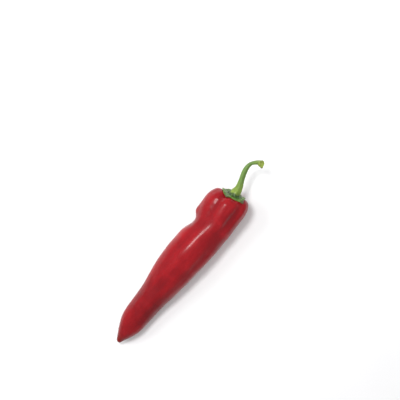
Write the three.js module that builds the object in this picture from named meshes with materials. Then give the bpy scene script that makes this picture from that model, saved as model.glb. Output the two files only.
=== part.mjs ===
// A pointed sweet pepper as picked, lying on its side.
// Millimetres, +Z up. +X runs from the pointed tip to the stalk.
// The origin is on the table, under the middle.
// Two pieces: the red fruit, and the green stalk, which widens into a toothed cap on the fruit's shoulders.
import * as THREE from "three";

// Driving dimensions
const fruitLength = 199; // along the midline, from the seat of the stalk to the tip
const headRadius = 22.6; // half the width of the head
const fruitFlatness = 0.96; // height of a section over its width
const capThickness = 1.2;
const capEdgeRadius = 12.6; // from the middle of the cap to its edge, between two teeth
const capLean = { reach: 2.2, angle: 30 }; // it reaches further on this side, in degrees round from the top
const stemFlareRadius = 5.5; // where the stem rises out of the cap
const stemRadius = 2.75; // half-way along the stem
const stemEndRadius = 3.45; // the swollen end, where it was cut
const pieceGap = 0.3; // clearance between the cap and the fruit
const restDepth = 0.8; // how much of the belly's roundness the flat resting spot takes off

// How finely each piece is faceted
const fruitColumns = 60;
const fruitRings = 56;
const stalkColumns = 54;

const degrees = Math.PI / 180;
const up = new THREE.Vector3(0, 0, 1);

// The line through the middle of the fruit, from the seat of the stalk to the tip.
// The head tips up and to the +Y side, and the body bends gently the other way.
const midline = smoothLine([
  [0, 0, 27.6],
  [-8, -1.9, 25.0],
  [-19, -3.3, 22.9],
  [-38, -4.0, 21.4],
  [-56, -2.9, 21.1],
  [-76, -1.2, 21.2],
  [-98, -0.2, 20.2],
  [-121, -0.5, 17.9],
  [-144, 0.2, 15.3],
  [-166, 0.8, 13.5],
  [-184, 0.2, 11.6],
  [-198, -0.4, 10.8],
]);

// Half of the fruit's outline about the midline: [millimetres from the seat, share of the head's radius]
const outline = new THREE.SplineCurve(
  [
    [2.4, 0],
    [2.2, 0.17],
    [1.2, 0.36],
    [0.3, 0.52],
    [0.7, 0.68],
    [3.0, 0.84],
    [8.5, 0.96],
    [17, 1.0],
    [31, 0.985],
    [46, 0.965],
    [62, 0.98],
    [79, 0.985],
    [96, 0.94],
    [116, 0.85],
    [136, 0.73],
    [155, 0.665],
    [171, 0.59],
    [183, 0.46],
    [191, 0.31],
    [195.5, 0.185],
    [198.4, 0.1],
    [199, 0],
  ].map(([along, share]) => new THREE.Vector2(along, share * headRadius)),
);
const widestStep = outline.points.findIndex((point) => point.y >= headRadius) / (outline.points.length - 1);

// The furrows between the lobes, deepest on the shoulders: degrees round from the top towards -Y, depth and
// width in millimetres, the distance over which they fade, and degrees of twist on the way to the tip
const furrows = [
  { angle: 25, depth: 2.9, width: 6.5, fade: 46, twist: 14 },
  { angle: -31, depth: 2.4, width: 6, fade: 40, twist: -6 },
  { angle: 128, depth: 3.2, width: 8, fade: 60, twist: -12 },
  { angle: -132, depth: 3.3, width: 8, fade: 66, twist: 12 },
];

// Shallow dents, and swellings where the depth is below zero: millimetres from the seat, degrees round from
// the top, depth, and reach along and across
const dents = [
  { along: 24, angle: -84, depth: -2.9, long: 16, wide: 17 },
  { along: 50.5, angle: -88, depth: 3.7, long: 8.5, wide: 15 },
  { along: 27, angle: 92, depth: 1.3, long: 11, wide: 13 },
  { along: 36, angle: -20, depth: 1.5, long: 9, wide: 9 },
  { along: 70, angle: 42, depth: 1.3, long: 22, wide: 7 },
  { along: 104, angle: -40, depth: 1.1, long: 20, wide: 8 },
  { along: 134, angle: 66, depth: 1.0, long: 15, wide: 8 },
  { along: 176, angle: 80, depth: -0.9, long: 8, wide: 8 },
  { along: 186, angle: -80, depth: 0.8, long: 8, wide: 7 },
];

// Broad, low waves of the skin: height in millimetres, waves round the fruit, and the millimetres along it
// over which they wind and swell by a radian
const waves = [
  { height: 0.4, round: 2, winding: 17, swelling: 23 },
  { height: 0.25, round: 3, winding: -11, swelling: 37 },
];
const plainUpTo = 4; // no relief this close to the midline, under the stalk and at the tip
const fullFrom = 17; // all of it from here outwards

// The teeth of the cap: degrees round from the top, and how far each one reaches past the cap's edge
const teeth = [
  { angle: -50, reach: 0.5 },
  { angle: -20, reach: 2.9 },
  { angle: 46, reach: 4.5 },
  { angle: 97, reach: 0.8 },
  { angle: 152, reach: 2.2 },
  { angle: -150, reach: 2.4 },
  { angle: -94, reach: 1.8 },
];
const toothWidth = 15; // degrees from the middle of a tooth to its flank
const capRibs = { height: 0.45, width: 11 }; // a low rib runs from the stem out to each tooth, degrees wide

// The stem's middle, from the seat to the cut end, and its radius as [share of its length, radius]
const stemLine = smoothLine([
  [0, -1.6, 27.4],
  [3.4, -1.5, 28.6],
  [7.2, -1.4, 30.3],
  [12.4, 0.2, 32.1],
  [16.9, 2.0, 33.4],
  [21.5, 3.7, 34.5],
  [26.2, 4.9, 35.4],
  [31.3, 5.3, 36.2],
  [35.5, 4.5, 36.9],
  [39.0, 1.5, 37.7],
  [40.5, -0.2, 38.4],
  [41.4, -2.4, 39.6],
  [41.7, -4.5, 41.3],
]);
const stemProfile = new THREE.SplineCurve(
  [
    [0.065, stemFlareRadius],
    [0.1, stemFlareRadius * 0.88],
    [0.155, stemFlareRadius * 0.76],
    [0.2, stemFlareRadius * 0.68],
    [0.27, stemFlareRadius * 0.59],
    [0.37, stemRadius * 1.04],
    [0.5, stemRadius],
    [0.6, stemRadius * 0.94],
    [0.67, stemRadius * 0.87],
    [0.74, stemRadius * 0.72],
    [0.8, stemRadius * 0.69],
    [0.85, stemRadius * 0.75],
    [0.9, stemEndRadius * 0.7],
    [0.946, stemEndRadius * 0.87],
    [0.985, stemEndRadius],
  ].map(([share, radius]) => new THREE.Vector2(share, radius)),
);
const stemOffset = new THREE.Vector3(0, -1.6, 0); // from the middle of the cap to the stem's foot
const stemRings = 26;
const stemFirstShare = 0.065; // where the stem leaves the cap
const stemLastShare = 0.98; // where the rounding of its cut end starts
// The dished cut: [share of the end's radius, millimetres past the end of the stem's middle]
const stemCut = [
  [0.98, -0.35],
  [0.9, 0],
  [0.8, 0],
  [0.7, -0.3],
  [0.4, -0.55],
];
const stemRidges = { count: 5, height: 0.07, twist: 70 }; // ridges along the stem, as a share of its radius

// A smooth line through points given in millimetres
function smoothLine(points) {
  const vectors = points.map(([x, y, z]) => new THREE.Vector3(x, y, z));
  return new THREE.CatmullRomCurve3(vectors, false, "centripetal");
}

// A smooth bump: 1 at 0, and close to nothing past 2
function bump(x) {
  return Math.exp(-x * x);
}

// The shorter way round from one angle to another, in degrees
function turn(from, to) {
  return THREE.MathUtils.euclideanModulo(to - from + 180, 360) - 180;
}

// How far the skin stands out from the plain outline at a place on the fruit, in millimetres
function relief(along, radius, angle) {
  const a = angle * degrees;
  const away = THREE.MathUtils.smoothstep(radius, plainUpTo, fullFrom);
  let height = 0;
  for (const furrow of furrows) {
    const middle = furrow.angle + (furrow.twist * along) / fruitLength;
    const across = turn(middle, angle) * degrees * radius;
    height -= furrow.depth * Math.exp(-Math.max(along, 0) / furrow.fade) * bump(across / furrow.width) * away;
  }
  for (const dent of dents) {
    const across = turn(dent.angle, angle) * degrees * radius;
    height -= dent.depth * bump((along - dent.along) / dent.long) * bump(across / dent.wide);
  }
  for (const wave of waves) {
    const swell = Math.sin(along / wave.swelling + 0.6);
    height += wave.height * away * swell * Math.sin(wave.round * a + along / wave.winding);
  }
  return height;
}

// The middle of the fruit's section at a distance from the seat, and the directions to its side and its top
function sectionAt(along) {
  const share = THREE.MathUtils.clamp(along / fruitLength, 0, 1);
  const toTip = midline.getTangentAt(share);
  const middle = midline.getPointAt(share).addScaledVector(toTip, along - share * fruitLength);
  const side = new THREE.Vector3().crossVectors(up, toTip).normalize();
  const top = new THREE.Vector3().crossVectors(toTip, side);
  return { middle, side, top };
}

// A point of the skin: step runs from 0 to 1 along the outline, and angle goes round from the top towards -Y
function skinPoint(step, angle) {
  const at = outline.getPoint(step);
  const way = outline.getTangent(step);
  const height = relief(at.x, at.y, angle);
  const { middle, side, top } = sectionAt(at.x - way.y * height);
  const reach = at.y + way.x * height;
  const a = angle * degrees;
  middle.addScaledVector(side, reach * Math.sin(a));
  return middle.addScaledVector(top, reach * Math.cos(a) * fruitFlatness);
}

// The direction straight out of the skin
function skinNormal(step, angle) {
  const small = 0.002;
  const from = Math.max(step - small, 0.5 * small);
  const along = skinPoint(from + 2 * small, angle).sub(skinPoint(from, angle));
  const round = skinPoint(from + small, angle + 1).sub(skinPoint(from + small, angle - 1));
  return new THREE.Vector3().crossVectors(along, round).normalize();
}

// The step along a curve at which a coordinate that rises along it reaches a value
function stepWhere(curve, coordinate, value, lastStep) {
  const closeEnough = 1e-7;
  let low = 0;
  let high = lastStep;
  while (high - low > closeEnough) {
    const middle = (low + high) / 2;
    if (curve.getPoint(middle)[coordinate] < value) low = middle;
    else high = middle;
  }
  return low;
}

// One closed surface over rings of points, with a pole at each end
function closedOver(firstPole, rings, lastPole) {
  const columns = rings[0].length;
  const points = [firstPole, ...rings.flat(), lastPole];
  const at = (ring, column) => 1 + ring * columns + (column % columns);
  const faces = [];
  for (let column = 0; column < columns; column++) {
    faces.push(0, at(0, column), at(0, column + 1));
    for (let ring = 0; ring < rings.length - 1; ring++) {
      faces.push(at(ring, column), at(ring + 1, column), at(ring, column + 1));
      faces.push(at(ring + 1, column), at(ring + 1, column + 1), at(ring, column + 1));
    }
    faces.push(at(rings.length - 1, column), points.length - 1, at(rings.length - 1, column + 1));
  }
  const geometry = new THREE.BufferGeometry().setFromPoints(points);
  geometry.setIndex(faces);
  geometry.computeVertexNormals();
  return geometry;
}

// The angles of the columns round a ring
function anglesRound(columns) {
  return Array.from({ length: columns }, (_, column) => (360 * column) / columns);
}

// The fruit, with the belly flattened where it rests on the table
function fruitGeometry() {
  const rings = [];
  for (let ring = 1; ring < fruitRings; ring++) {
    rings.push(anglesRound(fruitColumns).map((angle) => skinPoint(ring / fruitRings, angle)));
  }
  for (const point of rings.flat()) {
    point.z = Math.max(point.z, restDepth);
  }
  return closedOver(skinPoint(0, 0), rings, skinPoint(1, 0));
}

// How far the cap's edge is from its middle, in the direction of an angle
function capReach(angle) {
  let reach = capEdgeRadius + capLean.reach * Math.cos((angle - capLean.angle) * degrees);
  for (const tooth of teeth) {
    const off = Math.abs(turn(tooth.angle, angle)) / toothWidth;
    reach += tooth.reach * Math.max(0, 1 - off) ** 1.5;
  }
  return reach;
}

// How far the ribs stand up at an angle, as a share of their height
function ribAt(angle) {
  return Math.max(...teeth.map((tooth) => bump(turn(tooth.angle, angle) / capRibs.width)));
}

// A point above the skin, in the cap: share of the way out to its edge, and height above the skin
function capPoint(share, height, angle) {
  const step = stepWhere(outline, "y", capReach(angle) * share, widestStep);
  return skinPoint(step, angle).addScaledVector(skinNormal(step, angle), height);
}

// A ring round the stem at a share of its length
function stemRing(share) {
  const middle = stemLine.getPointAt(share);
  const fromRoot = stemLine.getTangentAt(share);
  const side = new THREE.Vector3().crossVectors(fromRoot, up).normalize();
  const top = new THREE.Vector3().crossVectors(side, fromRoot);
  const radius = stemProfile.getPoint(stepWhere(stemProfile, "x", share, 1)).y;
  return anglesRound(stalkColumns).map((angle) => {
    const a = angle * degrees;
    const ridge = Math.cos(stemRidges.count * a + stemRidges.twist * degrees * share);
    const reach = radius * (1 + stemRidges.height * ridge);
    const point = middle.clone().addScaledVector(side, reach * Math.sin(a));
    return point.addScaledVector(top, reach * Math.cos(a));
  });
}

// The stalk in one closed surface: under the cap, round its edge, over its top, and up the stem to its end
function stalkGeometry() {
  const under = pieceGap;
  const over = pieceGap + capThickness;
  // share of the way out, height above the skin, and shares of the ribs' height and of the stem's offset
  const capRings = [
    [0.2, under, 0, 0],
    [0.45, under, 0, 0],
    [0.7, under, 0, 0],
    [0.88, under, 0, 0],
    [0.985, under + 0.1, 0, 0],
    [1.015, (under + over) / 2, 0, 0],
    [0.99, over, 0.2, 0],
    [0.93, over + 0.2, 0.6, 0],
    [0.85, over + 0.1, 1, 0],
    [0.76, over - 0.1, 1, 0.2],
    [0.64, over - 0.4, 0.8, 0.6],
    [0.53, over - 0.3, 0.4, 1],
    [0.46, over + 0.5, 0.1, 1.15],
  ];
  const rings = capRings.map(([share, height, rib, offset]) => {
    return anglesRound(stalkColumns).map((angle) => {
      const point = capPoint(share, height + rib * capRibs.height * ribAt(angle), angle);
      return point.addScaledVector(stemOffset, offset);
    });
  });
  for (let ring = 0; ring <= stemRings; ring++) {
    rings.push(stemRing(THREE.MathUtils.lerp(stemFirstShare, stemLastShare, ring / stemRings)));
  }
  const lastRing = rings[rings.length - 1];
  const lastMiddle = stemLine.getPointAt(stemLastShare);
  const end = stemLine.getPointAt(1);
  const outward = stemLine.getTangentAt(1);
  for (const [share, past] of stemCut) {
    const middle = end.clone().addScaledVector(outward, past);
    rings.push(lastRing.map((point) => point.clone().sub(lastMiddle).multiplyScalar(share).add(middle)));
  }
  end.addScaledVector(outward, stemCut[stemCut.length - 1][1]);
  return closedOver(end, rings.reverse(), capPoint(0, under, 0));
}

function piece(name, geometry, color, roughness) {
  const mesh = new THREE.Mesh(geometry, new THREE.MeshStandardMaterial({ color, roughness, metalness: 0 }));
  mesh.name = name;
  return mesh;
}

const pepper = new THREE.Group();
pepper.add(piece("fruit", fruitGeometry(), 0xa31d24, 0.22));
pepper.add(piece("stalk", stalkGeometry(), 0x6f9436, 0.45));

// Lay the pepper with its flattened belly at height 0, and the middle of its box over the origin
const box = new THREE.Box3().setFromObject(pepper);
pepper.position.set(-(box.min.x + box.max.x) / 2, -(box.min.y + box.max.y) / 2, -box.min.z);

export default pepper;
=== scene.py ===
# A pointed sweet pepper, lying on a pale table and seen from straight above.
# Its two grown pieces, the red fruit and the green stalk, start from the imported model's own solids. They
# are remade in quads, pressed into shape in edit mode, subdivided, and given procedural materials.
import math

import bmesh
import bpy
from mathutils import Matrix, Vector
from mathutils.kdtree import KDTree


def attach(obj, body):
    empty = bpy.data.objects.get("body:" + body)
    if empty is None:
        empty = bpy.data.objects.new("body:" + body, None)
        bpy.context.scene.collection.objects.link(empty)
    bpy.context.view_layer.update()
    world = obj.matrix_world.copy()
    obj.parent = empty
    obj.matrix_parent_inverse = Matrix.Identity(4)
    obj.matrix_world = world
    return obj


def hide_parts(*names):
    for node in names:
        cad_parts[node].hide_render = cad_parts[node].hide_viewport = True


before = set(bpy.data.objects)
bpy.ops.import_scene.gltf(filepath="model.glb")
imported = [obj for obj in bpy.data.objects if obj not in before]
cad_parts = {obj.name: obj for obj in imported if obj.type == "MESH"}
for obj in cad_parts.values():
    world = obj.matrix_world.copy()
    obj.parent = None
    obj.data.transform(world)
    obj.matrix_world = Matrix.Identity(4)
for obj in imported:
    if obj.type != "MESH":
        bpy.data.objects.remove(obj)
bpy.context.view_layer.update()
mm = 0.001  # lengths are written in millimetres
touching = 0.02  # points closer than this are one, and a point lower than this lies on the table


# Helpers

# An sRGB hex colour as the linear one that the sockets take
def tint(hexText):
    parts = [int(hexText[i:i + 2], 16) / 255 for i in (1, 3, 5)]
    return [*(p / 12.92 if p <= 0.04045 else ((p + 0.055) / 1.055) ** 2.4 for p in parts), 1.0]


# The scale of a pattern whose features are this many millimetres across
def perSize(millimetres):
    return 1 / (millimetres * mm)


# Adds one node: its own settings by name, and a value or another node's output for each input
def addNode(tree, kind, inputs=(), ramp=(), **settings):
    made = tree.nodes.new("ShaderNode" + kind)
    for name, value in settings.items():
        setattr(made, name, value)
    for name, value in dict(inputs).items():
        if isinstance(value, bpy.types.NodeSocket):
            tree.links.new(value, made.inputs[name])
        else:
            made.inputs[name].default_value = value
    for i, (place, value) in enumerate(ramp):
        stop = made.color_ramp.elements[i] if i < 2 else made.color_ramp.elements.new(place)
        stop.position = place
        stop.color = tint(value) if isinstance(value, str) else [value, value, value, 1.0]
    return made


def newMaterial(name):
    material = bpy.data.materials.new(name)
    material.use_nodes = True
    material.node_tree.nodes.clear()
    return material, material.node_tree


# Nothing stays selected from before, because an operator acts on all that is
def onlySelect(piece):
    bpy.ops.object.select_all(action="DESELECT")
    piece.select_set(True)
    bpy.context.view_layer.objects.active = piece


def useModifier(piece, kind, **settings):
    onlySelect(piece)
    made = piece.modifiers.new(kind.title(), kind)
    for name, value in settings.items():
        setattr(made, name, value)
    bpy.ops.object.modifier_apply(modifier=made.name)


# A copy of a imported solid, merged from loose triangles and turned back into the quads it was drawn in
def startFrom(nodeName, pieceName):
    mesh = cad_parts[nodeName].data.copy()
    mesh.materials.clear()
    piece = bpy.data.objects.new(pieceName, mesh)
    bpy.context.collection.objects.link(piece)
    onlySelect(piece)
    bpy.ops.mesh.customdata_custom_splitnormals_clear()
    bpy.ops.object.mode_set(mode="EDIT")
    bpy.ops.mesh.select_all(action="SELECT")
    bpy.ops.mesh.remove_doubles(threshold=touching * mm)
    bpy.ops.mesh.tris_convert_to_quads(face_threshold=math.pi, shape_threshold=math.pi)
    bpy.ops.mesh.select_all(action="DESELECT")
    bpy.ops.object.mode_set(mode="OBJECT")
    return piece


# Selects the points of a piece that are nearest to some places, in metres, and stays in edit mode
def pickNearest(piece, places):
    tree = KDTree(len(piece.data.vertices))
    for vertex in piece.data.vertices:
        tree.insert(vertex.co, vertex.index)
    tree.balance()
    touched = {tree.find(place)[1] for place in places}
    onlySelect(piece)
    bpy.ops.object.mode_set(mode="EDIT")
    bpy.ops.mesh.select_all(action="DESELECT")
    drawn = bmesh.from_edit_mesh(piece.data)
    drawn.verts.ensure_lookup_table()
    for index in touched:
        drawn.verts[index].select_set(True)
    bmesh.update_edit_mesh(piece.data)


# Presses the surface in along its normal, or lifts it where the push is above zero. It dies away over
# the reach.
def press(piece, places, push, reach):
    pickNearest(piece, places)
    bpy.ops.transform.shrink_fatten(
        value=push * mm, use_proportional_edit=True, use_proportional_connected=True,
        proportional_edit_falloff="SMOOTH", proportional_size=reach * mm)
    bpy.ops.object.mode_set(mode="OBJECT")


# Grabs a place and moves it, and what is within reach follows
def drag(piece, place, move, reach):
    pickNearest(piece, [place])
    bpy.ops.transform.translate(
        value=Vector(move) * mm, use_proportional_edit=True, use_proportional_connected=True,
        proportional_edit_falloff="SMOOTH", proportional_size=reach * mm)
    bpy.ops.object.mode_set(mode="OBJECT")


# Relief from a texture: how wide and high its bumps are, and how many times longer they are along X
def roughen(piece, name, size, height, stretch=1):
    relief = bpy.data.textures.new(name, "CLOUDS")
    relief.noise_scale = size * mm
    relief.noise_depth = 1
    bpy.ops.object.empty_add()
    ruler = bpy.context.object
    ruler.scale = (stretch, 1, 1)
    bpy.context.view_layer.update()
    useModifier(piece, "DISPLACE", texture=relief, texture_coords="OBJECT", texture_coords_object=ruler,
                strength=height * mm, mid_level=0.5)
    bpy.data.objects.remove(ruler)


# Puts how hollow or proud each point is in a colour attribute. It is 0 in a groove, about 0.1 on even skin,
# and nears 1 on an edge.
def markHollows(piece, name, blur):
    onlySelect(piece)
    bpy.ops.geometry.color_attribute_add(
        name=name, domain="POINT", data_type="FLOAT_COLOR", color=(1, 1, 1, 1))
    bpy.ops.object.mode_set(mode="VERTEX_PAINT")
    bpy.ops.paint.vertex_color_dirt(
        blur_strength=1.0, blur_iterations=blur, clean_angle=math.pi, dirt_angle=0)
    bpy.ops.object.mode_set(mode="OBJECT")


# Stores where each point is across and along a bent line, in metres, so that grain can follow the line.
# The line's first and last stretches only run in and out, and lengths count from its second stop.
def layGrain(piece, line):
    stops = [Vector(stop) * mm for stop in line]
    last = len(stops) - 2
    grain = piece.data.attributes.new("grain", "FLOAT_VECTOR", "POINT")
    for vertex in piece.data.vertices:
        nearest = None
        gone = -(stops[1] - stops[0]).length
        for i in range(last + 1):
            step = stops[i + 1] - stops[i]
            share = (vertex.co - stops[i]).dot(step) / step.length_squared
            if i > 0:
                share = max(share, 0)
            if i < last:
                share = min(share, 1)
            off = vertex.co - stops[i] - step * share
            if nearest is None or off.length < nearest[0]:
                nearest = (off.length, off, step, gone + step.length * share)
            gone += step.length
        away, off, step, along = nearest
        side = step.cross(Vector((0, 0, 1))).normalized()
        grain.data[vertex.index].vector = (off.dot(side), off.dot(side.cross(step).normalized()), along)


# Brings whatever sank below the table back up to it, as a flat patch
def flattenBelly(piece):
    onlySelect(piece)
    bpy.ops.object.mode_set(mode="EDIT")
    bpy.ops.mesh.select_all(action="DESELECT")
    drawn = bmesh.from_edit_mesh(piece.data)
    for vertex in drawn.verts:
        if vertex.co.z < touching * mm:
            vertex.select_set(True)
    bmesh.update_edit_mesh(piece.data)
    bpy.ops.transform.resize(value=(1, 1, 0), center_override=(0, 0, 0))
    bpy.ops.object.mode_set(mode="OBJECT")


def smoothShade(piece):
    onlySelect(piece)
    bpy.ops.object.shade_smooth()


# The fruit

# Places on the skin are given as x, and degrees round from the top towards -Y
fruitShape = {
    "spine": [  # through the middle of the flesh, from past the stalk to past the tip
        (85.5, 4.2, 29.8), (76.4, 2.0, 26.8), (68.4, 0.1, 24.2), (57.4, -1.3, 22.1), (38.4, -2.0, 20.6),
        (20.4, -0.9, 20.3), (0.4, 0.8, 20.4), (-21.6, 1.8, 19.4), (-44.6, 1.5, 17.1), (-67.6, 2.2, 14.5),
        (-89.6, 2.8, 12.7), (-107.6, 2.2, 10.8), (-121.6, 1.6, 10.0), (-131.0, 1.2, 9.4),
    ],
    "presses": [  # x, degrees, push, reach
        (40, -55, -0.6, 11), (18, 5, -0.5, 14), (-22, 18, -0.5, 17), (-52, -22, -0.45, 13),
        (-80, 26, -0.35, 12), (6, -78, -0.6, 14), (28, 80, -0.5, 12), (-40, 75, -0.4, 14),
        (50, 150, -0.5, 12), (47, -2, 0.5, 12), (2, -18, 0.4, 16), (-68, 4, 0.35, 14), (60, -62, 0.4, 10),
        (39, -90, 2.3, 8.5), (47, -86, 0.5, 8), (30, -90, -0.6, 6),  # the head's full edge over the neck
    ],
    "valleys": [  # between lobes: degrees under the cap, x and degrees at the other end, push, reach
        (20, 44, 18, 0.9, 5.5), (36, 47, 34, -1.0, 8), (36, 24, 26, -0.4, 7), (-31, 46, -30, -0.7, 5),
        (-30, 32, -36, -0.3, 6), (98, 34, 92, -0.7, 6), (-100, 36, -104, -0.7, 6), (178, 44, 170, -0.5, 6),
        (62, 52, 58, -0.3, 4), (-62, 52, -58, -0.35, 4.5), (4, 64, 2, -0.2, 3.5), (138, 48, 134, -0.4, 4.5),
        (-142, 46, -138, -0.4, 4.5),
    ],
    "folds": [  # x and degrees at both ends, push, reach
        ((31, -58), (22, -100), -0.5, 4.5), ((25, -64), (17, -88), -0.3, 3.5),
        ((37, -48), (33, -92), -0.35, 3.5), ((22, 14), (-46, -2), -0.45, 8),
        ((30, -40), (-28, -30), -0.4, 7), ((26, 52), (-60, 38), -0.45, 8),
        ((-40, -14), (-100, -8), -0.3, 6), ((-18, -62), (-84, -52), -0.3, 7),
        ((-64, 34), (-104, 24), -0.25, 5), ((10, 118), (-70, 108), -0.4, 9),
        ((8, -120), (-60, -112), -0.4, 9), ((4, 34), (-52, 20), 0.3, 6), ((18, -12), (-60, -24), 0.3, 7),
    ],
    "shoulderX": 58,
    "underCap": 40,  # how many degrees a valley runs in over the shoulder, on top of the head
    "underCapMore": 0.2,  # and more for each degree round, because the cap sits lower on the far side
    "tip": (-121.6, 1.6, 10), "tipMove": (-1.3, -0.3, 0), "tipReach": 8,  # drawn out to a blunt nub
    "hollowBlur": 8,
    "rippleSize": 9, "rippleHeight": 0.3,
    "streakSize": 3.2, "streakHeight": 0.16, "streakStretch": 7,
}


# The tilt turns the look-out from straight across towards the stalk
def skinPlace(piece, x, angle, tilt=0):
    spine = fruitShape["spine"]
    before, after = next((a, b) for a, b in zip(spine, spine[1:]) if b[0] <= x)
    share = (before[0] - x) / (before[0] - after[0])
    heart = Vector(before).lerp(Vector(after), share) * mm
    a, t = math.radians(angle), math.radians(tilt)
    across = Vector((0, -math.sin(a), math.cos(a)))
    return piece.ray_cast(heart, across * math.cos(t) + Vector((math.sin(t), 0, 0)))[1]


# A stop about every 3 mm along, and one for each 9 degrees round
def foldPlaces(piece, x0, a0, x1, a1):
    stops = max(3, round(abs(x1 - x0) / 3) + round(abs(a1 - a0) / 9))
    shares = [i / (stops - 1) for i in range(stops)]
    return [skinPlace(piece, x0 + (x1 - x0) * s, a0 + (a1 - a0) * s) for s in shares]


# Along the skin to the shoulder, then over it and in under the cap in six steps
def valleyPlaces(piece, capAngle, x, angle):
    shoulder = fruitShape["shoulderX"]
    under = fruitShape["underCap"] + abs(capAngle) * fruitShape["underCapMore"]
    tilts = [under * i / 6 for i in range(1, 7)]
    return foldPlaces(piece, shoulder, capAngle, x, angle) + [
        skinPlace(piece, shoulder, capAngle, tilt) for tilt in tilts]


def makeFruit():
    shape = fruitShape
    piece = startFrom("fruit", "redFruit")
    useModifier(piece, "SUBSURF", levels=1, render_levels=1)
    for x, angle, push, reach in shape["presses"]:
        press(piece, [skinPlace(piece, x, angle)], push, reach)
    for capAngle, x, angle, push, reach in shape["valleys"]:
        press(piece, valleyPlaces(piece, capAngle, x, angle), push, reach)
    for start, end, push, reach in shape["folds"]:
        press(piece, foldPlaces(piece, *start, *end), push, reach)
    drag(piece, Vector(shape["tip"]) * mm, shape["tipMove"], shape["tipReach"])
    markHollows(piece, "hollow", shape["hollowBlur"])
    layGrain(piece, shape["spine"])
    useModifier(piece, "SUBSURF", levels=1, render_levels=1)
    roughen(piece, "skinRipple", shape["rippleSize"], shape["rippleHeight"])
    roughen(piece, "skinStreak", shape["streakSize"], shape["streakHeight"], shape["streakStretch"])
    flattenBelly(piece)
    smoothShade(piece)
    return piece


redFruit = makeFruit()
print("fruit modelled")


# The stalk

stalkShape = {
    "line": [  # through the middle of the stem, from inside the fruit to past the cut end
        (65.0, 0.1, 22.6), (76.4, 0.4, 26.6), (79.8, 0.5, 27.8), (83.6, 0.6, 29.5), (88.8, 2.2, 31.3),
        (93.3, 4.0, 32.6), (97.9, 5.7, 33.7), (102.6, 6.9, 34.6), (107.7, 7.3, 35.4), (111.9, 6.5, 36.1),
        (115.4, 3.5, 36.9), (116.9, 1.8, 37.6), (117.8, -0.4, 38.8), (118.1, -2.5, 40.5),
        (118.7, -6.4, 43.6),
    ],
    "wrinkles": [  # on the cap: degrees round the stem, from and to which distance from it, push, reach
        (8, 6.5, 11, -0.3, 1.8), (30, 7, 12, 0.3, 1.6), (52, 6.5, 10, -0.25, 1.5),
        (74, 6.5, 11.5, 0.28, 1.8), (96, 6.5, 10.5, -0.3, 1.6), (121, 7, 11, 0.3, 1.7),
        (143, 6.5, 11, -0.3, 1.8), (164, 6.5, 12, 0.28, 1.5), (188, 6.5, 10.5, -0.25, 1.8),
        (207, 7, 11.5, 0.3, 1.6), (229, 6.5, 11, -0.3, 1.6), (251, 6.5, 11, 0.25, 1.8),
        (274, 6.5, 11.5, -0.28, 1.6), (297, 7, 11, 0.3, 1.6), (318, 6.5, 10.5, -0.3, 1.7),
        (340, 6.5, 12, 0.28, 1.6),
    ],
    "lookFrom": 9,  # how far above the stem's foot the cap is looked down on
    "toothAngle": 50, "toothAway": 12.5, "toothMove": (-0.2, 0.9, 0.1),
    "heel": (116.2, -5.8, 40.5), "heelMove": (-0.6, -1.1, 0),  # the low corner of the cut end
    "dragReach": 4,
    "endSwell": 0.5, "endReach": 3.5,  # the stem widens once more just before the cut
    "cutRadius": 3.8,  # of the cut face
    "cutDepth": 1.1,  # how far back from the end it still is the cut face
    "cutFacing": 0.35,  # how squarely a face looks out along the stem, where 1 is fully
    "hollowBlur": 2,
    "waveSize": 5, "waveHeight": 0.5,
    "rippleSize": 2.6, "rippleHeight": 0.18,
    "fibreSize": 0.9, "fibreHeight": 0.13, "fibreStretch": 6,
}


# The faces of the cut end take the second material
def markCut(piece):
    shape = stalkShape
    end = Vector(shape["line"][-2]) * mm
    outward = (end - Vector(shape["line"][-3]) * mm).normalized()
    for face in piece.data.polygons:
        off = face.center - end
        ahead = off.dot(outward)
        wide = (off - outward * ahead).length
        atEnd = ahead > -shape["cutDepth"] * mm and wide < shape["cutRadius"] * mm
        face.material_index = int(atEnd and face.normal.dot(outward) > shape["cutFacing"])


# Which way a stretch of the stem leads, and a step straight out from it: degrees round it, and millimetres
def stepOut(start, end, angle, away):
    outward = (end - start).normalized()
    side = outward.cross(Vector((0, 0, 1))).normalized()
    a = math.radians(angle)
    return outward, (side * math.cos(a) + side.cross(outward) * math.sin(a)) * away * mm


# Looks down on the cap along the stem, from a little above it. The place is given as degrees round the stem
# and millimetres from it.
def capPlace(piece, angle, away):
    foot, after = (Vector(stop) * mm for stop in stalkShape["line"][1:3])
    outward, step = stepOut(foot, after, angle, away)
    return piece.ray_cast(foot + outward * stalkShape["lookFrom"] * mm + step, -outward)[1]


# Twelve places round the rim of the cut end
def endRing():
    end, beyond = (Vector(stop) * mm for stop in stalkShape["line"][-2:])
    return [end + stepOut(end, beyond, 30 * i, stalkShape["cutRadius"])[1] for i in range(12)]


def makeStalk():
    shape = stalkShape
    piece = startFrom("stalk", "greenStalk")
    markCut(piece)
    useModifier(piece, "SUBSURF", levels=1, render_levels=1)
    for angle, near, far, push, reach in shape["wrinkles"]:
        press(piece, [capPlace(piece, angle, near + (far - near) * i / 5) for i in range(6)], push, reach)
    press(piece, endRing(), shape["endSwell"], shape["endReach"])
    tooth = capPlace(piece, shape["toothAngle"], shape["toothAway"])
    drag(piece, tooth, shape["toothMove"], shape["dragReach"])
    drag(piece, Vector(shape["heel"]) * mm, shape["heelMove"], shape["dragReach"])
    markHollows(piece, "hollow", shape["hollowBlur"])
    layGrain(piece, shape["line"])
    useModifier(piece, "SUBSURF", levels=1, render_levels=1)
    roughen(piece, "rindWave", shape["waveSize"], shape["waveHeight"])
    roughen(piece, "stemRipple", shape["rippleSize"], shape["rippleHeight"])
    roughen(piece, "stemFibre", shape["fibreSize"], shape["fibreHeight"], shape["fibreStretch"])
    smoothShade(piece)
    return piece


greenStalk = makeStalk()
print("stalk modelled")


# Finishes. A share says how far a colour goes over the one below it.

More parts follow.
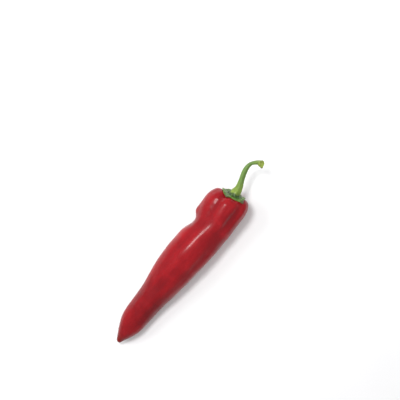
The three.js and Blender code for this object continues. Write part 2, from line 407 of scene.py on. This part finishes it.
# Ripe pepper skin is a thin clear wax over saturated red flesh. The eye gets a deep even red with painted
# shade in the folds, a red that deepens towards the tip, partly as painted shade, faint lengthwise streaks,
# and a soft gloss that fine dimples break up.
skinFinish = {
    "darkRed": "#821018", "midRed": "#93131B", "brightRed": "#A51A21", "mottleSize": 20,
    "streakAcross": 1.5, "streakAlong": 22, "streakDark": 0.78, "streakShare": 0.35,
    # Painted shade: the folds are darkened to this red where the skin is hollow
    "foldShadeRed": "#5F0B14", "foldShadeHollow": 0.1, "foldShadeShare": 0.3,
    # Partly painted shade: towards the tip the red is darkened as if in shade, as well as deepening as a ripe
    # tip does
    "deepensAndShadesFrom": 70, "deepensAndShadesTo": 160, "deepest": 0.8,  # millimetres from the cap, and the red that is left
    "tipBrown": "#5B2A1C", "tipFrom": 188, "tipTo": 201, "tipShare": 0.45,
    "scarBrown": "#4E2416", "scarFrom": 200.9, "scarTo": 201.15, "scarShare": 0.75,
    "raggedSize": 1.2, "raggedBy": 0.6,  # the scar's edge
    "poreRed": "#D8685A", "poreSize": 0.55, "poreGap": 1.65, "poreShare": 0.04,
    "peelSize": 2.6, "peelDepth": 0.12, "streakDepth": 0.1, "poreDepth": 0.03,
    "ior": 1.4, "gloss": 0.2, "bloomSize": 7, "roughness": (0.36, 0.48),
    "coat": 0.38, "coatIor": 1.38, "coatRoughness": 0.2,
    "glow": 0.15, "glowDepth": 1.8, "glowSpread": (1.0, 0.2, 0.12),  # light comes back red out of the flesh
}


def makeSkinFinish():
    finish = skinFinish
    material, tree = newMaterial("ripePepperSkin")
    place = addNode(tree, "TexCoord").outputs["Object"]
    hollow = addNode(tree, "Attribute", attribute_name="hollow").outputs["Fac"]
    grain = addNode(tree, "Attribute", attribute_name="grain").outputs["Vector"]
    along = addNode(tree, "SeparateXYZ", {"Vector": grain}).outputs["Z"]

    mottle = addNode(tree, "TexNoise", {
        "Vector": place, "Scale": perSize(finish["mottleSize"]), "Detail": 5, "Roughness": 0.6,
        "Distortion": 0.4}).outputs["Fac"]
    red = addNode(tree, "ValToRGB", {"Fac": mottle}, ramp=[
        (0.3, finish["darkRed"]), (0.52, finish["midRed"]), (0.74, finish["brightRed"])]).outputs["Color"]

    # Streaks: a noise in the straightened grain, squeezed lengthwise
    longGrain = addNode(tree, "VectorMath", {
        0: grain, 1: (1, 1, finish["streakAcross"] / finish["streakAlong"])},
        operation="MULTIPLY").outputs["Vector"]
    streaks = addNode(tree, "TexNoise", {
        "Vector": longGrain, "Scale": perSize(finish["streakAcross"]), "Detail": 3}).outputs["Fac"]
    streakTone = addNode(tree, "ValToRGB", {"Fac": streaks}, ramp=[
        (0.3, finish["streakDark"]), (0.7, 1.0)]).outputs["Color"]
    streaked = addNode(tree, "Mix", {
        "Factor": finish["streakShare"], "A": red, "B": streakTone},
        data_type="RGBA", blend_type="MULTIPLY").outputs["Result"]

    # Painted shade: the folds are darkened to a cooler red, by how hollow the skin is there
    foldShadeMask = addNode(tree, "MapRange", {
        "Value": hollow, "From Min": finish["foldShadeHollow"], "From Max": 0.0, "To Max": finish["foldShadeShare"]},
        interpolation_type="SMOOTHSTEP").outputs["Result"]
    foldShaded = addNode(tree, "Mix", {
        "Factor": foldShadeMask, "A": streaked, "B": tint(finish["foldShadeRed"])},
        data_type="RGBA").outputs["Result"]

    # Towards the tip the red deepens, partly as painted shade, and then browns, down to the dry scar of the
    # flower
    redLeftWithShade = addNode(tree, "MapRange", {
        "Value": along, "From Min": finish["deepensAndShadesFrom"] * mm, "From Max": finish["deepensAndShadesTo"] * mm,
        "To Min": 1.0, "To Max": finish["deepest"]}, interpolation_type="SMOOTHSTEP").outputs["Result"]
    deepenedAndShaded = addNode(tree, "Mix", {
        "Factor": 1.0, "A": foldShaded, "B": redLeftWithShade},
        data_type="RGBA", blend_type="MULTIPLY").outputs["Result"]
    tipMask = addNode(tree, "MapRange", {
        "Value": along, "From Min": finish["tipFrom"] * mm, "From Max": finish["tipTo"] * mm,
        "To Max": finish["tipShare"]}, interpolation_type="SMOOTHSTEP").outputs["Result"]
    browned = addNode(tree, "Mix", {
        "Factor": tipMask, "A": deepenedAndShaded, "B": tint(finish["tipBrown"])},
        data_type="RGBA").outputs["Result"]

    # The dry scar itself, ragged round its edge
    ragged = addNode(tree, "TexNoise", {
        "Vector": place, "Scale": perSize(finish["raggedSize"]), "Detail": 4}).outputs["Fac"]
    scarPlace = addNode(tree, "Math", {
        0: ragged, 1: finish["raggedBy"] * mm, 2: along}, operation="MULTIPLY_ADD").outputs["Value"]
    scarMask = addNode(tree, "MapRange", {
        "Value": scarPlace, "From Min": finish["scarFrom"] * mm, "From Max": finish["scarTo"] * mm,
        "To Max": finish["scarShare"]}, interpolation_type="SMOOTHSTEP").outputs["Result"]
    scarred = addNode(tree, "Mix", {
        "Factor": scarMask, "A": browned, "B": tint(finish["scarBrown"])},
        data_type="RGBA").outputs["Result"]

    # Pores show as barely lighter dots
    pores = addNode(tree, "TexVoronoi", {
        "Vector": place, "Scale": perSize(finish["poreGap"])}).outputs["Distance"]
    poreMask = addNode(tree, "MapRange", {
        "Value": pores, "From Min": 0.22, "From Max": 0.1, "To Max": finish["poreShare"]},
        interpolation_type="SMOOTHSTEP").outputs["Result"]
    dotted = addNode(tree, "Mix", {
        "Factor": poreMask, "A": scarred, "B": tint(finish["poreRed"])},
        data_type="RGBA").outputs["Result"]

    # The wax is duller in patches, like a bloom that was partly rubbed off
    bloom = addNode(tree, "TexNoise", {
        "Vector": place, "Scale": perSize(finish["bloomSize"]), "Detail": 5,
        "Roughness": 0.7}).outputs["Fac"]
    low, high = finish["roughness"]
    dulled = addNode(tree, "MapRange", {
        "Value": bloom, "From Min": 0.35, "From Max": 0.7, "To Min": low, "To Max": high}).outputs["Result"]

    peel = addNode(tree, "TexNoise", {
        "Vector": place, "Scale": perSize(finish["peelSize"]), "Detail": 2}).outputs["Fac"]
    peelBump = addNode(tree, "Bump", {
        "Height": peel, "Strength": 0.35, "Distance": finish["peelDepth"] * mm}).outputs["Normal"]
    streakBump = addNode(tree, "Bump", {
        "Height": streaks, "Strength": 0.3, "Distance": finish["streakDepth"] * mm,
        "Normal": peelBump}).outputs["Normal"]
    fine = addNode(tree, "TexNoise", {
        "Vector": place, "Scale": perSize(finish["poreSize"]), "Detail": 2}).outputs["Fac"]
    fineBump = addNode(tree, "Bump", {
        "Height": fine, "Strength": 0.2, "Distance": finish["poreDepth"] * mm,
        "Normal": streakBump}).outputs["Normal"]
    shine = addNode(tree, "BsdfPrincipled", {
        "Base Color": dotted, "Roughness": dulled,
        "IOR": finish["ior"], "Specular IOR Level": finish["gloss"],
        "Coat Weight": finish["coat"], "Coat IOR": finish["coatIor"],
        "Coat Roughness": finish["coatRoughness"],
        "Subsurface Weight": finish["glow"], "Subsurface Radius": finish["glowSpread"],
        "Subsurface Scale": finish["glowDepth"] * mm, "Normal": fineBump})
    addNode(tree, "OutputMaterial", {"Surface": shine.outputs["BSDF"]})
    return material


# A fresh pepper stem is satin green rind with fine lengthwise fibres. The eye gets the yellow-green of the
# flare against the dark green cap, pale edges where the rind is proud, painted shade in the grooves and in a
# ring round the stem's foot, and small pale dots.
rindFinish = {
    "flareGreen": "#879B3C", "midGreen": "#66843C", "endGreen": "#86993F", "stemLength": 50,
    "shadeGreen": "#48672F", "fibreAcross": 0.55, "fibreAlong": 9, "fibreShare": 0.5, "fibreDepth": 0.12,
    "capGreen": "#375A20", "capPale": "#6F9338",
    "rayScale": 7, "rayBend": 0.35, "bendSize": 3.5, "rayDepth": 0.5,
    "capFrom": 5.4, "capTo": 6.2, "collarShadeTo": 8.5,  # millimetres out from the stem's middle
    # Painted shade: the cap is darkened to this share in a ring round the stem's foot
    "collarShadeDark": 0.45,
    "edgePale": "#8DA65C", "edgeHollow": (0.1, 0.4), "edgeShare": 0.45,
    # Painted shade: the deepest grooves are darkened to this green
    "grooveShadeGreen": "#213C1B", "grooveShadeHollow": (0.018, 0.002), "grooveShadeShare": 0.6,
    "toothBrown": "#463F24", "toothFrom": 13.4, "toothTo": 15.2, "toothShare": 0.85,
    "dotPale": "#B9C88A", "dotGap": 1.3, "dotShare": 0.25,
    "fineSize": 0.5, "fineDepth": 0.04, "ior": 1.45, "roughness": (0.34, 0.5),
    "coat": 0.15, "coatRoughness": 0.25,
    "glow": 0.12, "glowDepth": 0.8, "glowSpread": (0.5, 1.0, 0.2),
}


def makeRindFinish():
    finish = rindFinish
    material, tree = newMaterial("freshStemRind")
    place = addNode(tree, "TexCoord").outputs["Object"]
    hollow = addNode(tree, "Attribute", attribute_name="hollow").outputs["Fac"]
    grain = addNode(tree, "Attribute", attribute_name="grain").outputs["Vector"]
    along = addNode(tree, "SeparateXYZ", {"Vector": grain}).outputs["Z"]
    across = addNode(tree, "VectorMath", {0: grain, 1: (1, 1, 0)}, operation="MULTIPLY").outputs["Vector"]
    wide = addNode(tree, "VectorMath", {0: across}, operation="LENGTH").outputs["Value"]

    # From the flare to the cut end
    share = addNode(tree, "MapRange", {
        "Value": along, "From Min": 0, "From Max": finish["stemLength"] * mm}).outputs["Result"]
    green = addNode(tree, "ValToRGB", {"Fac": share}, ramp=[
        (0.08, finish["flareGreen"]), (0.38, finish["midGreen"]), (0.8, finish["midGreen"]),
        (0.98, finish["endGreen"])]).outputs["Color"]

    longGrain = addNode(tree, "VectorMath", {
        0: grain, 1: (1, 1, finish["fibreAcross"] / finish["fibreAlong"])},
        operation="MULTIPLY").outputs["Vector"]
    fibres = addNode(tree, "TexNoise", {
        "Vector": longGrain, "Scale": perSize(finish["fibreAcross"]), "Detail": 3}).outputs["Fac"]
    fibreMask = addNode(tree, "MapRange", {
        "Value": fibres, "From Min": 0.62, "From Max": 0.38,
        "To Max": finish["fibreShare"]}).outputs["Result"]
    stem = addNode(tree, "Mix", {
        "Factor": fibreMask, "A": green, "B": tint(finish["shadeGreen"])},
        data_type="RGBA").outputs["Result"]

    # The cap: streaks run out from the stem to the edge, bent here and there by a noise
    rays = addNode(tree, "VectorMath", {0: across}, operation="NORMALIZE").outputs["Vector"]
    cloud = addNode(tree, "TexNoise", {
        "Vector": place, "Scale": perSize(finish["bendSize"]), "Detail": 4,
        "Roughness": 0.65}).outputs["Color"]
    bent = addNode(tree, "VectorMath", {
        0: cloud, 1: [finish["rayBend"]] * 3, 2: rays}, operation="MULTIPLY_ADD").outputs["Vector"]
    rayNoise = addNode(tree, "TexNoise", {
        "Vector": bent, "Scale": finish["rayScale"], "Detail": 4}).outputs["Fac"]
    capTone = addNode(tree, "ValToRGB", {"Fac": rayNoise}, ramp=[
        (0.3, finish["capGreen"]), (0.78, finish["capPale"])]).outputs["Color"]
    # Painted shade: the cap is darkened in a ring round the stem's foot, where the groove round the flare
    # lies in shade
    collarShade = addNode(tree, "MapRange", {
        "Value": wide, "From Min": finish["capTo"] * mm, "From Max": finish["collarShadeTo"] * mm,
        "To Min": finish["collarShadeDark"], "To Max": 1.0}, interpolation_type="SMOOTHSTEP").outputs["Result"]
    collarShaded = addNode(tree, "Mix", {
        "Factor": 1.0, "A": capTone, "B": collarShade},
        data_type="RGBA", blend_type="MULTIPLY").outputs["Result"]
    capMask = addNode(tree, "MapRange", {
        "Value": wide, "From Min": finish["capFrom"] * mm, "From Max": finish["capTo"] * mm},
        interpolation_type="SMOOTHSTEP").outputs["Result"]
    body = addNode(tree, "Mix", {
        "Factor": capMask, "A": stem, "B": collarShaded}, data_type="RGBA").outputs["Result"]

    # Paler on the proud edges, and painted shade darkens the grooves
    edgeFrom, edgeTo = finish["edgeHollow"]
    edgeMask = addNode(tree, "MapRange", {
        "Value": hollow, "From Min": edgeFrom, "From Max": edgeTo, "To Max": finish["edgeShare"]},
        interpolation_type="SMOOTHSTEP").outputs["Result"]
    edged = addNode(tree, "Mix", {
        "Factor": edgeMask, "A": body, "B": tint(finish["edgePale"])},
        data_type="RGBA").outputs["Result"]
    grooveShadeFrom, grooveShadeTo = finish["grooveShadeHollow"]
    grooveShadeMask = addNode(tree, "MapRange", {
        "Value": hollow, "From Min": grooveShadeFrom, "From Max": grooveShadeTo, "To Max": finish["grooveShadeShare"]},
        interpolation_type="SMOOTHSTEP").outputs["Result"]
    grooveShaded = addNode(tree, "Mix", {
        "Factor": grooveShadeMask, "A": edged, "B": tint(finish["grooveShadeGreen"])},
        data_type="RGBA").outputs["Result"]

    # The teeth of the cap dry to brown at their tips
    toothMask = addNode(tree, "MapRange", {
        "Value": wide, "From Min": finish["toothFrom"] * mm, "From Max": finish["toothTo"] * mm,
        "To Max": finish["toothShare"]}, interpolation_type="SMOOTHSTEP").outputs["Result"]
    toothed = addNode(tree, "Mix", {
        "Factor": toothMask, "A": grooveShaded, "B": tint(finish["toothBrown"])},
        data_type="RGBA").outputs["Result"]

    dots = addNode(tree, "TexVoronoi", {
        "Vector": place, "Scale": perSize(finish["dotGap"])}).outputs["Distance"]
    dotMask = addNode(tree, "MapRange", {
        "Value": dots, "From Min": 0.16, "From Max": 0.08, "To Max": finish["dotShare"]},
        interpolation_type="SMOOTHSTEP").outputs["Result"]
    dotted = addNode(tree, "Mix", {
        "Factor": dotMask, "A": toothed, "B": tint(finish["dotPale"])},
        data_type="RGBA").outputs["Result"]

    rayBump = addNode(tree, "Bump", {
        "Height": rayNoise, "Strength": 0.6, "Distance": finish["rayDepth"] * mm}).outputs["Normal"]
    fibreBump = addNode(tree, "Bump", {
        "Height": fibres, "Strength": 0.5, "Distance": finish["fibreDepth"] * mm,
        "Normal": rayBump}).outputs["Normal"]
    fine = addNode(tree, "TexNoise", {
        "Vector": place, "Scale": perSize(finish["fineSize"]), "Detail": 3}).outputs["Fac"]
    fineBump = addNode(tree, "Bump", {
        "Height": fine, "Strength": 0.3, "Distance": finish["fineDepth"] * mm,
        "Normal": fibreBump}).outputs["Normal"]
    low, high = finish["roughness"]
    dulled = addNode(tree, "MapRange", {
        "Value": fine, "From Min": 0.3, "From Max": 0.7, "To Min": low, "To Max": high}).outputs["Result"]
    shine = addNode(tree, "BsdfPrincipled", {
        "Base Color": dotted, "Roughness": dulled, "IOR": finish["ior"],
        "Coat Weight": finish["coat"], "Coat Roughness": finish["coatRoughness"],
        "Subsurface Weight": finish["glow"], "Subsurface Radius": finish["glowSpread"],
        "Subsurface Scale": finish["glowDepth"] * mm, "Normal": fineBump})
    addNode(tree, "OutputMaterial", {"Surface": shine.outputs["BSDF"]})
    return material


# The cut end is the stem's moist pith. The eye gets a pale yellow-green, a darker ring of bundles round it,
# and a rim that has begun to dry.
cutFinish = {
    "rings": [  # share of the way out, and colour
        (0.12, "#B4C268"), (0.45, "#A8B855"), (0.62, "#8DA246"), (0.74, "#A3B551"), (0.93, "#90A044"),
        (1.0, "#6A682C")],
    "radius": 4.2, "wobbleSize": 0.9, "wobbleBy": 0.22,  # the rings aren't quite round
    "cellSize": 0.35, "cellDepth": 0.08, "ior": 1.4, "roughness": 0.5,
    "glow": 0.2, "glowDepth": 0.8, "glowSpread": (0.8, 1.0, 0.4),
}


def makeCutFinish():
    finish = cutFinish
    material, tree = newMaterial("cutStemPith")
    place = addNode(tree, "TexCoord").outputs["Object"]
    grain = addNode(tree, "Attribute", attribute_name="grain").outputs["Vector"]
    across = addNode(tree, "VectorMath", {0: grain, 1: (1, 1, 0)}, operation="MULTIPLY").outputs["Vector"]
    wide = addNode(tree, "VectorMath", {0: across}, operation="LENGTH").outputs["Value"]
    share = addNode(tree, "MapRange", {
        "Value": wide, "From Min": 0, "From Max": finish["radius"] * mm}).outputs["Result"]
    wobble = addNode(tree, "TexNoise", {
        "Vector": place, "Scale": perSize(finish["wobbleSize"]), "Detail": 4}).outputs["Fac"]
    uneven = addNode(tree, "Math", {
        0: wobble, 1: finish["wobbleBy"], 2: share}, operation="MULTIPLY_ADD").outputs["Value"]
    rings = addNode(tree, "ValToRGB", {"Fac": uneven}, ramp=finish["rings"]).outputs["Color"]
    cells = addNode(tree, "TexVoronoi", {
        "Vector": place, "Scale": perSize(finish["cellSize"])}).outputs["Distance"]
    cellBump = addNode(tree, "Bump", {
        "Height": cells, "Strength": 0.5, "Distance": finish["cellDepth"] * mm}).outputs["Normal"]
    shine = addNode(tree, "BsdfPrincipled", {
        "Base Color": rings, "Roughness": finish["roughness"], "IOR": finish["ior"],
        "Subsurface Weight": finish["glow"], "Subsurface Radius": finish["glowSpread"],
        "Subsurface Scale": finish["glowDepth"] * mm, "Normal": cellBump})
    addNode(tree, "OutputMaterial", {"Surface": shine.outputs["BSDF"]})
    return material


redFruit.data.materials.append(makeSkinFinish())
greenStalk.data.materials.append(makeRindFinish())
greenStalk.data.materials.append(makeCutFinish())
for piece, node, slot in ((redFruit, "fruit", "skin"), (greenStalk, "stalk", "stalk")):
    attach(piece, "root")
    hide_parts(node)
print("finishes made")


# Table, light and camera

tableTop = {"size": 4000, "paler": "#F2F2F2", "darker": "#ECECED", "cloudSize": 180, "roughness": 0.55}
lamps = [  # name, place, width and depth, watts, and whether the gloss shows it
    ("keySoftbox", (100, 290, 860), (240, 220), 4.6, True),
    ("windowSide", (-150, 660, 560), (640, 520), 4.3, False),
    ("overheadFill", (120, -120, 1500), (1100, 1100), 4.8, False),
]
lampsAim = (0, 0, 20)  # the middle of the pepper
skyLight = {"colour": "#FAFAFB", "strength": 0.45}
photoFrame = {
    "pixels": 400,
    "mmPerPixel": 1.05,
    "seatPixel": (233, 193.5),  # where the middle of the cap is in the picture
    "seat": (76.4, 2.0, 22),  # the same place on the pepper, at the height of its outline
    "turned": 52.15,  # degrees from the picture's right round to the pepper's +X
    "lens": 85,
}


# A matte white laminate top. The eye gets an even pale ground, barely clouded, with no reflections.
def makeTable():
    bpy.ops.object.select_all(action="DESELECT")
    bpy.ops.mesh.primitive_plane_add(size=tableTop["size"] * mm)
    top = bpy.context.object
    top.name = "paleTable"
    material, tree = newMaterial("matteWhiteTable")
    place = addNode(tree, "TexCoord").outputs["Object"]
    cloud = addNode(tree, "TexNoise", {
        "Vector": place, "Scale": perSize(tableTop["cloudSize"]), "Detail": 3}).outputs["Fac"]
    tone = addNode(tree, "ValToRGB", {"Fac": cloud}, ramp=[
        (0.3, tableTop["darker"]), (0.7, tableTop["paler"])]).outputs["Color"]
    shine = addNode(tree, "BsdfPrincipled", {"Base Color": tone, "Roughness": tableTop["roughness"]})
    addNode(tree, "OutputMaterial", {"Surface": shine.outputs["BSDF"]})
    top.data.materials.append(material)


def makeLight():
    middle = Vector(lampsAim) * mm
    for name, spot, (width, depth), watts, inGloss in lamps:
        bpy.ops.object.light_add(type="AREA", location=Vector(spot) * mm)
        lamp = bpy.context.object
        lamp.name = name
        lamp.data.shape = "ELLIPSE"
        lamp.data.size = width * mm
        lamp.data.size_y = depth * mm
        lamp.data.energy = watts
        lamp.visible_glossy = inGloss
        lamp.rotation_euler = (middle - lamp.location).to_track_quat("-Z", "Y").to_euler()
    world = bpy.data.worlds.new("paleRoom")
    world.use_nodes = True
    world.node_tree.nodes["Background"].inputs["Color"].default_value = tint(skyLight["colour"])
    world.node_tree.nodes["Background"].inputs["Strength"].default_value = skyLight["strength"]
    bpy.context.scene.world = world
    bpy.context.scene.view_settings.view_transform = "Standard"


# The camera looks straight down, turned so that the pepper lies in the picture as it does in the photograph
def makeCamera():
    view = photoFrame
    turn = math.radians(view["turned"])
    right = Vector((math.cos(turn), -math.sin(turn), 0))
    upward = Vector((math.sin(turn), math.cos(turn), 0))
    offRight = (view["pixels"] / 2 - view["seatPixel"][0]) * view["mmPerPixel"]
    offUp = (view["seatPixel"][1] - view["pixels"] / 2) * view["mmPerPixel"]
    aim = Vector(view["seat"]) + right * offRight + upward * offUp
    bpy.ops.object.camera_add()
    camera = bpy.context.object
    camera.name = "photoCamera"
    camera.data.lens = view["lens"]
    away = view["pixels"] * view["mmPerPixel"] * view["lens"] / camera.data.sensor_width
    camera.location = (aim + Vector((0, 0, away))) * mm
    camera.rotation_euler = (0, 0, -turn)
    bpy.context.scene.camera = camera


makeTable()
makeLight()
makeCamera()
print("table, light and camera set")
